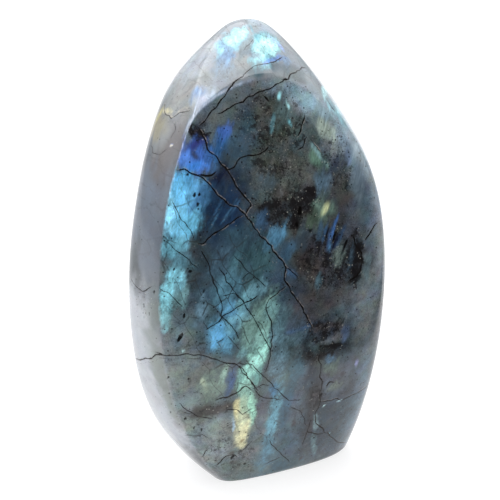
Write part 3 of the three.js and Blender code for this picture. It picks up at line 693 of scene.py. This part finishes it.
def bevelled_foot(lowest_ring):
    """The ring on the ground, stepped in from the stone's lowest ring by the bevel."""
    inward = SPINE_FOOT - lowest_ring
    inward[:, 2] = 0
    inward *= FOOT_BEVEL / np.linalg.norm(inward, axis=1)[:, None]
    ring = lowest_ring + inward
    ring[:, 2] = 0
    return ring


# ---- The marks on it ----


def drift(points, cell, seed):
    """Smooth noise from -1 to 1: random numbers on a lattice of cells, blended between the corners."""
    lattice = np.random.default_rng(seed).uniform(-1, 1, (LATTICE, LATTICE, LATTICE))
    scaled = points / np.asarray(cell, dtype=float)
    corner = np.floor(scaled).astype(int)
    blend = smoothstep(0, 1, scaled - corner)
    total = np.zeros(len(points))
    for step in itertools.product((0, 1), repeat=3):
        share = np.prod(np.where(step, blend, 1 - blend), axis=1)
        i, j, k = ((corner + step) % LATTICE).T
        total += share * lattice[i, j, k]
    return total


def along_fibres(points):
    """The points measured along two directions across the fibres and one along them."""
    along = np.array(FIBRE) / np.linalg.norm(FIBRE)
    across = np.cross(along, (0, 1, 0))
    across /= np.linalg.norm(across)
    return points @ np.stack([across, np.cross(along, across), along], axis=1)


def linear(colour):
    """Screen values from 0 to 255 as the linear values that light adds up in."""
    value = np.asarray(colour, dtype=float) / 255
    return np.where(value <= 0.04045, value / 12.92, ((value + 0.055) / 1.055) ** 2.4)


def chart(points, face):
    """The points' places on a face's flat chart."""
    return points @ np.array(face.across, dtype=float), points @ np.array(face.up, dtype=float)


def face_shares(points, normals):
    """How far each point belongs to each face, later faces in FACES covering earlier ones."""
    shares = {}
    for name, face in FACES.items():
        share = smoothstep(face.begins, face.full, normals @ np.array(face.toward, dtype=float))
        if face.hem:
            share *= smoothstep(*face.hem, chart(points, face)[0])
        shares[name] = share
    return shares


def patch_cover(patch, across, up, warp, fade):
    """A patch's cover at points on a chart: full inside the oval and fading between two of its sizes.

    A point's size is its distance from the middle of the leaning oval, each way in half widths or half
    heights, after warp has moved it.
    """
    aside = across - patch.across
    along = up - patch.up
    lean = math.radians(patch.lean)
    wide = aside * math.cos(lean) - along * math.sin(lean)
    wide = wide + min(patch.half_width, WANDER_SIZE) * WANDER * warp[0]
    tall = aside * math.sin(lean) + along * math.cos(lean)
    tall = tall + min(patch.half_height, WANDER_SIZE) * WANDER * warp[1]
    tall = tall + min(0.5 * patch.half_height, FIBRE_WANDER) * warp[2]
    size = np.hypot(wide / patch.half_width, tall / patch.half_height)
    begins, ends = (1 + (bound - 1) * patch.edge for bound in fade)
    cover = patch.cover * smoothstep(ends, begins, size)
    if patch.hem:
        cover = cover * smoothstep(*patch.hem, across)
    return cover


def painted_edge_highlight(points, normals, shares):
    """How bright the painted highlight on the crisp edges is: 4s(1 - s), which is most half way over from
    one face to the next.
    """
    faces_front = smoothstep(*EDGE_HIGHLIGHT_FACING, -normals[:, 1])
    left = 4 * shares["left"] * (1 - shares["left"]) * smoothstep(*EDGE_HIGHLIGHT_HEIGHTS, points[:, 2])
    peak = 4 * shares["peak"] * (1 - shares["peak"]) * smoothstep(*EDGE_HIGHLIGHT_PEAK, points[:, 0])
    return np.maximum(left * faces_front, peak * faces_front)


def lay_over(under, over, cover):
    """One set of colours laid over another by a cover from 0 to 1 at every point."""
    return under + (over - under) * cover[:, None]


def stone_colours(points, normals, shares):
    """The ground's colour and contrast, and the colour and strength of the flashes with the painted edge
    highlight laid in, at every point.

    A flash laid over others takes part in the colour by its cover's share of the strength so far.
    """
    fibres = along_fibres(points)
    warp = [drift(points, 2.6, 11), drift(points, 3.4, 12), drift(fibres, (0.9, 1.4, 7.0), 13)]
    ground = np.tile(linear(GROUND_COLOUR), (len(points), 1))
    flash_and_highlight = np.tile(linear(UNDER_FLASH_COLOUR), (len(points), 1))
    strength = np.zeros(len(points))
    contrast = np.ones(len(points))
    for name, face in FACES.items():
        across, up = chart(points, face)
        strength *= 1 - shares[name]
        contrast += (GRAIN_SHOWS.get(name, 1.0) - contrast) * shares[name]
        for patch in itertools.starmap(Patch, GROUND[name]):
            cover = patch_cover(patch, across, up, warp, GROUND_FADE) * shares[name]
            ground = lay_over(ground, linear(patch.colour), cover)
        for patch in itertools.starmap(Patch, FLASHES[name]):
            cover = patch_cover(patch, across, up, warp, FLASH_FADE) * shares[name]
            weight = cover / np.maximum(cover + strength * (1 - cover), 1e-6)
            flash_and_highlight = lay_over(flash_and_highlight, linear(patch.colour), weight)
            strength = cover + strength * (1 - cover)
    # The crisp edges get a painted highlight, laid over the flashes where they face the front.
    pale = EDGE_HIGHLIGHT_STRENGTH * painted_edge_highlight(points, normals, shares)
    flash_and_highlight = lay_over(flash_and_highlight, linear(EDGE_HIGHLIGHT_COLOUR), pale)
    strength = pale + strength * (1 - pale)
    return ground, contrast, flash_and_highlight, strength


def stone_mask(points, shares, patches):
    """How fully a set of colourless patches covers every point."""
    warp = [drift(points, 2.2, 14), drift(points, 2.8, 15), drift(points, 1.2, 16)]
    mask = np.zeros(len(points))
    for name, face in FACES.items():
        across, up = chart(points, face)
        mask *= 1 - shares[name]
        for patch in itertools.starmap(Patch, patches[name]):
            mask = np.maximum(mask, patch_cover(patch, across, up, warp, MASK_FADE) * shares[name])
    return mask


def jagged(path, rng):
    """A path cut into short steps that stray from side to side, and how far along it each step is."""
    path = np.array(path, dtype=float)
    lengths = np.linalg.norm(np.diff(path, axis=0), axis=1)
    travelled = np.concatenate([[0], np.cumsum(lengths)])
    steps = np.linspace(0, travelled[-1], max(3, int(travelled[-1] / CRACK_STEP)))
    fine = np.stack([np.interp(steps, travelled, path[:, i]) for i in (0, 1)], axis=1)
    stray = np.convolve(rng.normal(0, 1, len(fine) + 2), (0.25, 0.5, 0.25), "valid")
    heading = np.gradient(fine, axis=0)
    heading /= np.linalg.norm(heading, axis=1)[:, None]
    aside = np.stack([-heading[:, 1], heading[:, 0]], axis=1)
    return fine + aside * (CRACK_STRAY * stray)[:, None], steps


def crack_distance(spots, path):
    """Signed distance from spots to a path, positive on its left, and the place along it from 0 to 1."""
    start, end = path[:-1], path[1:]
    span = end - start
    offset = spots[:, None] - start
    along = np.clip((offset * span).sum(-1) / (span ** 2).sum(-1), 0, 1)
    gap = offset - along[..., None] * span
    distance = np.hypot(gap[..., 0], gap[..., 1])
    nearest = distance.argmin(axis=1)
    row = np.arange(len(spots))
    side = span[nearest, 0] * offset[row, nearest, 1] - span[nearest, 1] * offset[row, nearest, 0]
    place = (nearest + along[row, nearest]) / len(span)
    return np.where(side >= 0, 1, -1) * distance[row, nearest], place


def one_crack(crack, across, up, belongs, rng):
    """The points near a crack, and its signed distance, half width and pale edge at them."""
    path, steps = jagged(crack.path, rng)
    low, high = path.min(axis=0) - CRACK_REACH, path.max(axis=0) + CRACK_REACH
    near = (across > low[0]) & (across < high[0]) & (up > low[1]) & (up < high[1])
    near = np.flatnonzero(near & belongs)
    distance, place = crack_distance(np.stack([across[near], up[near]], axis=1), path)
    mine = np.abs(distance) < CRACK_REACH
    near, distance, place = near[mine], distance[mine], place[mine]
    length = steps[-1]
    taper = smoothstep(0, CRACK_TAPER / length, np.minimum(place, 1 - place) + CRACK_END / length)
    bulges = rng.normal(0, 1, len(steps)).clip(-1.5, 1.5)
    swell = CRACK_BODY + CRACK_SWELL * np.interp(place * length, steps, bulges)
    fade = smoothstep(CRACK_REACH, 0.6 * CRACK_REACH, np.abs(distance))
    half_width = crack.width / 2 * taper * swell * fade
    return near, np.stack([distance, half_width, np.full(len(near), crack.pale) * fade], axis=1)


def crack_fields(points, shares):
    """The cracks as families of (signed distance, half width, pale edge) at every point.

    A crack joins the first family that has no other crack within CRACK_REACH of it, so the distance
    runs evenly through zero along every crack.
    """
    rng = np.random.default_rng(CRACK_SEED)
    families = []
    for name, face in FACES.items():
        across, up = chart(points, face)
        for crack in itertools.starmap(Crack, CRACKS[name]):
            near, values = one_crack(crack, across, up, shares[name] > CRACK_SHARE, rng)
            field = next((f for f in families if not (f[near, 1] > 0).any()), None)
            if field is None:
                field = np.zeros((len(points), 3))
                field[:, 0] = CRACK_REACH
                families.append(field)
            field[near] = values
    return families


def hollow_depth(points, shares, families):
    """How deep the cracks' grooves and the pits go, in millimetres, and the pits' share of it."""
    groove = np.zeros(len(points))
    for distance, half_width, _ in (field.T for field in families):
        dip = GROOVE_DEPTH * half_width * np.exp(-(distance / GROOVE_SPREAD) ** 2)
        groove = np.maximum(groove, dip)
    warp = [*np.zeros((2, len(points))), drift(points, 0.9, 21)]
    pits = np.zeros(len(points))
    for name, rows in PITS.items():
        across, up = chart(points, FACES[name])
        for *oval, depth in rows:
            cover = patch_cover(Patch(*oval, 1), across, up, warp, PIT_FADE) * shares[name]
            pits = np.maximum(pits, depth * cover)
    return np.maximum(groove, pits), pits


# ---- Building the piece ----


def closed_mesh(name, vertices, rows, columns):
    """A closed mesh: quads between rings, a fan under the lowest ring and a fan over the highest.

    vertices holds the rings from the lowest up, then the middle of the foot, then the apex.
    """
    here = np.arange(columns)
    after = (here + 1) % columns
    base = np.arange(rows - 1)[:, None] * columns
    quads = np.stack([base + here, base + after, base + columns + after, base + columns + here], axis=-1)
    top = (rows - 1) * columns
    foot_middle = rows * columns
    under = np.stack([after, here, np.full(columns, foot_middle)], axis=-1)
    over = np.stack([top + here, top + after, np.full(columns, foot_middle + 1)], axis=-1)
    faces = quads.reshape(-1, 4).tolist() + under.tolist() + over.tolist()
    mesh = bpy.data.meshes.new(name)
    mesh.from_pydata((vertices * MM).tolist(), [], faces)
    mesh.polygons.foreach_set("use_smooth", np.ones(len(mesh.polygons), dtype=bool))
    mesh.set_sharp_from_angle(angle=CREASE)
    mesh.update()
    return mesh


def paint_vertices(mesh, name, values):
    """Stores three numbers, or a colour with a fourth number, at every vertex."""
    kinds = {3: ("FLOAT_VECTOR", "vector"), 4: ("FLOAT_COLOR", "color")}
    kind, field = kinds[values.shape[1]]
    attribute = mesh.attributes.new(name, kind, "POINT")
    attribute.data.foreach_set(field, values.astype(np.float32).ravel())


def placed(name, data):
    """A new object in the scene."""
    thing = bpy.data.objects.new(name, data)
    bpy.context.scene.collection.objects.link(thing)
    return thing


rings = stone_grid()
apex = surface_points(SPINE_TOP, np.array([0.0, 0.0, 1.0]))
rings = np.concatenate([bevelled_foot(rings[0])[None], rings])
points = np.concatenate([rings.reshape(-1, 3), [SPINE_FOOT * (1, 1, 0), apex]])
normals = pressure(points)[1]
normals /= np.linalg.norm(normals, axis=1)[:, None]

shares = face_shares(points, normals)
ground, contrast, flash_and_highlight, strength = stone_colours(points, normals, shares)
families = crack_fields(points, shares)
depth, pits = hollow_depth(points, shares, families)
sunk = points - normals * (depth * smoothstep(*WHOLE_FOOT, points[:, 2]))[:, None]

mesh = closed_mesh("polished_stone", sunk, len(rings), COLUMNS)
paint_vertices(mesh, "ground", np.concatenate([ground, contrast[:, None]], axis=1))
paint_vertices(mesh, "flash_and_highlight", np.concatenate([flash_and_highlight, strength[:, None]], axis=1))
flaws = [stone_mask(points, shares, RUBBLE), stone_mask(points, shares, HAIR_CRACKS), pits]
paint_vertices(mesh, "flaws", np.stack(flaws, axis=1))
for number, field in enumerate(families):
    paint_vertices(mesh, f"cracks_{number}", field)

stone = placed("polished_stone", mesh)
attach(stone, "root")
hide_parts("stone")


# ---- The polished labradorite ----


class Shade:
    """A shader socket that takes part in Python sums: each operator adds its Math node."""

    def __init__(self, tree, socket=None):
        self.tree = tree
        self.socket = socket

    def node(self, kind, settings, inputs, output=0):
        """Adds a node of a kind, gives it its settings, then its sockets' values or links."""
        made = self.tree.nodes.new(kind)
        for name, value in settings.items():
            setattr(made, name, value)
        for name, value in inputs.items():
            if isinstance(value, Shade):
                self.tree.links.new(value.socket, made.inputs[name])
            else:
                made.inputs[name].default_value = value
        return Shade(self.tree, made.outputs[output])

    def feeds(self, shader, name):
        """Links this value to a shader's socket."""
        self.tree.links.new(self.socket, shader.inputs[name])

    def math(self, operation, first, second=0.0):
        """A Math node's result on one or two values."""
        return self.node("ShaderNodeMath", {"operation": operation}, {0: first, 1: second})

    def vector(self, operation, inputs):
        """A Vector Math node's result on this vector and its other inputs."""
        return self.node("ShaderNodeVectorMath", {"operation": operation}, {0: self, **inputs})

    def __add__(self, other):
        return self.math("ADD", self, other)

    __radd__ = __add__

    def __sub__(self, other):
        return self.math("SUBTRACT", self, other)

    def __rsub__(self, other):
        return self.math("SUBTRACT", other, self)

    def __mul__(self, other):
        return self.math("MULTIPLY", self, other)

    __rmul__ = __mul__

    def __abs__(self):
        return self.math("ABSOLUTE", self)

    def higher(self, other):
        """The higher of two values."""
        return self.math("MAXIMUM", self, other)

    def held(self):
        """The value held between 0 and 1."""
        return self.node("ShaderNodeClamp", {}, {0: self})

    def rise(self, low, high):
        """0 below low, 1 above high and a smooth step between; falls instead when low is above high."""
        if low > high:
            return 1 - self.rise(high, low)
        settings = {"interpolation_type": "SMOOTHSTEP"}
        return self.node("ShaderNodeMapRange", settings, {0: self, 1: low, 2: high})

    def blend(self, under, over):
        """The colour this share of the way from one colour to another."""
        return self.node("ShaderNodeMix", {"data_type": "RGBA"}, {0: self, 6: under, 7: over}, 2)

    def mixed(self, other, share):
        """This colour with the other laid over it by a share."""
        return share.blend(self, other)

    def scaled(self, amount):
        """This colour or vector times an amount."""
        return self.vector("SCALE", {"Scale": amount})

    def plus(self, other):
        """This colour or vector plus another, part by part."""
        return self.vector("ADD", {1: other})

    def times(self, other):
        """This colour or vector times another, part by part."""
        return self.vector("MULTIPLY", {1: other})

    def part(self, name):
        """One of a vector's parts, by its letter."""
        return self.node("ShaderNodeSeparateXYZ", {}, {0: self}, "XYZ".index(name))

    def mapped(self, **settings):
        """This place turned or drawn out by a Mapping node."""
        return self.node("ShaderNodeMapping", {}, {"Vector": self, **settings})

    def grain(self, size, detail=2.0, roughness=0.55, output=0):
        """Noise whose features are about size millimetres across; self is a place in millimetres."""
        inputs = {"Vector": self, "Scale": 1 / size, "Detail": detail, "Roughness": roughness}
        return self.node("ShaderNodeTexNoise", {}, inputs, output)

    def cells(self, size, output=0, randomness=1.0, feature="F1"):
        """The distance (0) or colour (1) of scattered cells about size millimetres across."""
        inputs = {"Vector": self, "Scale": 1 / size, "Randomness": randomness}
        return self.node("ShaderNodeTexVoronoi", {"feature": feature}, inputs, output)

    def stored(self, name, output=0):
        """What is stored at the vertices: a colour (0), a vector (1) or a colour's fourth number (3)."""
        return self.node("ShaderNodeAttribute", {"attribute_name": name}, {}, output)

    def coordinate(self, kind):
        """The place in one of Texture Coordinate's kinds."""
        return self.node("ShaderNodeTexCoord", {}, {}, kind)


def new_material(name, settings):
    """A material with a Principled shader of given settings, and a Shade to start its sums from."""
    material = bpy.data.materials.new(name)
    material.use_nodes = True
    shader = material.node_tree.nodes["Principled BSDF"]
    for socket, value in settings.items():
        shader.inputs[socket].default_value = value
    return material, shader, Shade(material.node_tree)


def feldspar(place, grit, rubble):
    """The ground: stored colours tinted warm and cool, brown where it is broken, and uneven all over."""
    contrast = place.stored("ground", 3)
    plain = place.stored("ground")
    tint = place.grain(8.0, 4.0, 0.6).rise(0.38, 0.62).blend(COOL_TINT, WARM_TINT)
    stray_hue = place.grain(5.0, 2.0, 0.6, 1).scaled(0.4).plus((0.8, 0.8, 0.8))
    ground = plain.mixed(plain.times(tint).times(stray_hue), contrast)
    brown = place.grain(5.0, 4.0, 0.6).rise(0.50, 0.64) * (0.10 + 0.35 * rubble)
    ground = ground.mixed(BROWN_FELDSPAR, brown)
    uneven = 1.6 * (place.grain(7.0, 3.0) - 0.5)
    uneven += (1.3 + 2.4 * rubble) * (place.grain(3.0, 5.0, 0.70) - 0.5)
    uneven += (1.4 + 2.8 * rubble) * (grit - 0.5)
    return ground.scaled((1 + uneven * contrast).higher(0.1))


def flashes(place, mottle):
    """The flashes' colour and strength, with the painted edge highlight among them, brushed along the
    fibres by noise that is drawn out upright.
    """
    upright = Vector(FIBRE).rotation_difference(Vector((0, 0, 1))).to_euler()
    fibres = place.mapped(Rotation=upright).mapped(Scale=(1, 1, FIBRE_STRETCH))
    bands = fibres.grain(4.0, 2.0, 0.5) - 0.5
    strokes = fibres.grain(1.5, 3.0, 0.6) - 0.5
    hairs = fibres.grain(0.5, 2.0, 0.6) - 0.5
    cloud = place.grain(7.0, 3.0) - 0.5
    colour = place.stored("flash_and_highlight").scaled(1.12 + 1.2 * cloud + 1.4 * bands + 1.8 * strokes + 1.3 * hairs)
    strength = (1.15 * place.stored("flash_and_highlight", 3)).held()
    broken = 4 * strength * (1 - strength)
    ragged = 0.9 * strokes + 0.5 * hairs + 0.4 * (mottle - 0.5)
    return colour, (strength + broken * ragged).held()


def hair_cracks(place):
    """The borders of cells set out in rows along two directions and bent a little, gone in places."""
    bent = place.plus(place.grain(6.0, 2.0, 0.5, 1).scaled(3.0))
    rows = bent.mapped(Rotation=HAIR_CRACK_TURN).mapped(Scale=(1, 0.3, 0.5))
    border = rows.cells(HAIR_CRACK_CELL, 0, 0.5, "DISTANCE_TO_EDGE")
    return border.rise(0.038, 0.010) * place.grain(4.0, 3.0, 0.6).rise(0.40, 0.50)


def long_cracks(place, grit, number):
    """One family's dark lines, the pale lines on one side of them (partly healed filling, partly painted
    highlight) and the stain round them.
    """
    field = place.stored(f"cracks_{number}", 1)
    distance = field.part("X") + 0.5 * (grit - 0.5)
    half_width = field.part("Y")
    present = (half_width * 16).held()
    line = (0.5 + (1.05 * half_width - abs(distance)) * 8).held() * present
    edge = (0.5 + (0.14 - abs(distance - half_width - 0.2)) * 8).held() * present * field.part("Z")
    return line, edge, (1 - abs(distance)).held() * present


def highest(values):
    """The highest of several values."""
    first, *others = values
    for other in others:
        first = first.higher(other)
    return first


def polished_labradorite(crack_families):
    """Grey feldspar with brushed flashes, dark healed cracks, specks and pits under a high polish."""
    material, shader, start = new_material("polished labradorite", {"IOR": FELDSPAR_IOR})
    place = start.coordinate("Object").scaled(1 / MM)
    mottle = place.grain(1.5, 3.0, 0.65)
    grit = place.grain(0.45, 2.0, 0.8)
    flaws = place.stored("flaws", 1)
    rubble = flaws.part("X")
    netted = flaws.part("Y")
    pit = flaws.part("Z").rise(0.03, 0.15)
    contrast = place.stored("ground", 3)

    flash_and_highlight, strength = flashes(place, mottle)
    colour = feldspar(place, grit, rubble).mixed(flash_and_highlight, strength)

    # Soot between the grains, then black and pale grains.
    soot = (place.grain(2.6, 5.0, 0.75) + 0.20 * rubble).rise(0.61, 0.70)
    soot *= (0.45 + 0.5 * rubble) * (1 - 0.75 * strength)
    flecks = (place.grain(0.9, 4.0, 0.75) + 0.08 * rubble).rise(0.62, 0.69)
    flecks *= (0.35 + 0.6 * rubble) * (1 - 0.6 * strength)
    sooty = soot.higher(flecks) * contrast
    colour = colour.mixed(SOOT, sooty)
    chosen = (place.cells(1.1, 1).part("X") + 0.3 * rubble).rise(0.90, 0.95)
    black = place.cells(1.1).rise(0.32, 0.18) * chosen
    chosen = (place.cells(0.75, 1).part("Y") + 0.25 * rubble).rise(0.88, 1.02)
    pale = place.cells(0.75).rise(0.38, 0.18) * chosen * mottle.rise(0.42, 0.55)
    colour = colour.mixed(SOOT, black * 0.8 * contrast)
    colour = colour.mixed(PALE_GRAIN, pale * (0.15 + 0.8 * rubble))

    colour = colour.mixed(HAIR_CRACK, hair_cracks(place) * netted * 0.75)
    cracks = [long_cracks(place, grit, number) for number in range(crack_families)]
    line, edge, stain = (highest(values) for values in zip(*cracks))
    colour = colour.mixed(CRACK_STAIN, stain * (0.6 * mottle - 0.15).held())
    # A pale line on one side of each crack: partly healed filling, partly a painted highlight where the
    # edge catches the light.
    colour = colour.mixed(PALE_FILL_AND_HIGHLIGHT, edge * mottle.rise(0.42, 0.60))
    colour = colour.mixed(OPEN_CRACK, line * (0.55 + 0.9 * mottle).held())
    colour = colour.mixed(PIT_DARK, pit * 0.9)
    colour.feeds(shader, "Base Color")

    worn = line.higher(pit)
    polish = 0.05 + 0.04 * place.grain(7.0, 3.0)
    (polish + 0.08 * worn + 0.05 * black).held().feeds(shader, "Roughness")
    # An open crack or pit swallows light: as a dark metal it reflects less than the polish round it.
    (0.75 * worn).higher(0.5 * black).higher(0.45 * sooty).held().feeds(shader, "Metallic")
    height = 0.010 * place.grain(7.0, 1.0) + 0.0016 * mottle - 0.015 * line - 0.015 * black
    bump = {"Strength": 1.0, "Distance": MM, "Height": height}
    place.node("ShaderNodeBump", {}, bump).feeds(shader, "Normal")
    return material


mesh.materials.append(polished_labradorite(len(families)))

# ---- The table, the lights and the camera ----

low, high = (Vector(corner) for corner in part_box("stone"))
centre = (low + high) / 2


def stage_sheet(name, corners, material):
    """A flat sheet of a material through four corners, for the stage."""
    sheet = bpy.data.meshes.new(name)
    sheet.from_pydata(corners, [], [(0, 1, 2, 3)])
    sheet.materials.append(material)
    thing = placed(name, sheet)
    return thing


def lit_paint():
    """A matt white that also shines by itself, as a lit table top does."""
    settings = {
        "Base Color": (*TABLE_COLOUR, 1),
        "Roughness": 0.9,
        "Specular IOR Level": 0,
        "Emission Color": (1, 1, 1, 1),
        "Emission Strength": TABLE_GLOW,
    }
    return new_material("lit white table", settings)[0]


def graded_felt():
    """A black felt that glows along its foot and up its right side, fading smoothly between."""
    settings = {"Base Color": (0, 0, 0, 1), "Roughness": 1, "Specular IOR Level": 0, "Emission Strength": 1}
    material, shader, start = new_material("graded felt", settings)
    place = start.coordinate("Object")
    along_foot = CARD_FOOT_GLOW * place.part("Z").rise(CARD_FOOT_HEIGHT, 0)
    up_side = CARD_SIDE_GLOW * place.part("X").rise(*CARD_SIDE_ACROSS) * place.part("Z").rise(*CARD_SIDE_UP)
    (along_foot + up_side).feeds(shader, "Emission Color")
    return material


def softbox(name, place, size, radiance):
    """A rectangular area light, aimed at the stone, that looks as bright as radiance from its front."""
    light = bpy.data.lights.new(name, "AREA")
    light.shape = "RECTANGLE"
    light.size, light.size_y = size
    light.energy = radiance * math.pi * size[0] * size[1]
    lamp = placed(name, light)
    lamp.location = place
    lamp.rotation_euler = (centre - Vector(place)).to_track_quat("-Z", "Y").to_euler()
    return lamp


def pale_surroundings():
    """A world that is dim near the ground and bright above, with a smooth step between."""
    world = bpy.data.worlds.new("studio")
    world.use_nodes = True
    background = world.node_tree.nodes["Background"]
    background.inputs["Color"].default_value = WALL_COLOUR
    height = Shade(world.node_tree).coordinate("Generated").part("Z")
    (WALL_LOW + (WALL_HIGH - WALL_LOW) * height.rise(*WALL_RISE)).feeds(background, "Strength")
    return world


def aimed_camera():
    """A camera turned and tilted round the point that it looks at."""
    data = bpy.data.cameras.new("camera")
    data.lens = CAMERA_LENS
    data.sensor_width = CAMERA_SENSOR
    camera = placed("camera", data)
    toward = Vector(directions(CAMERA_TURN - math.pi / 2, CAMERA_TILT))
    camera.location = centre + Vector(CAMERA_AIM) + toward * CAMERA_DISTANCE
    camera.rotation_euler = toward.to_track_quat("Z", "Y").to_euler()
    return camera


corners = [(x * TABLE_REACH, y * TABLE_REACH, low.z) for x, y in ((-1, -1), (1, -1), (1, 1), (-1, 1))]
stage_sheet("table", corners, lit_paint())
corners = [(*CARD_LEFT, 0), (*CARD_RIGHT, 0), (*CARD_RIGHT, CARD_TOP), (*CARD_LEFT, CARD_TOP)]
card = stage_sheet("graded card", corners, graded_felt())
card.visible_camera = False
card.visible_shadow = False

softbox("overhead softbox", OVERHEAD_PLACE, OVERHEAD_SIZE, OVERHEAD_RADIANCE)
softbox("front fill", FILL_PLACE, FILL_SIZE, FILL_RADIANCE).visible_glossy = False

scene = bpy.context.scene
scene.world = pale_surroundings()
scene.camera = aimed_camera()
scene.view_settings.view_transform = "Standard"
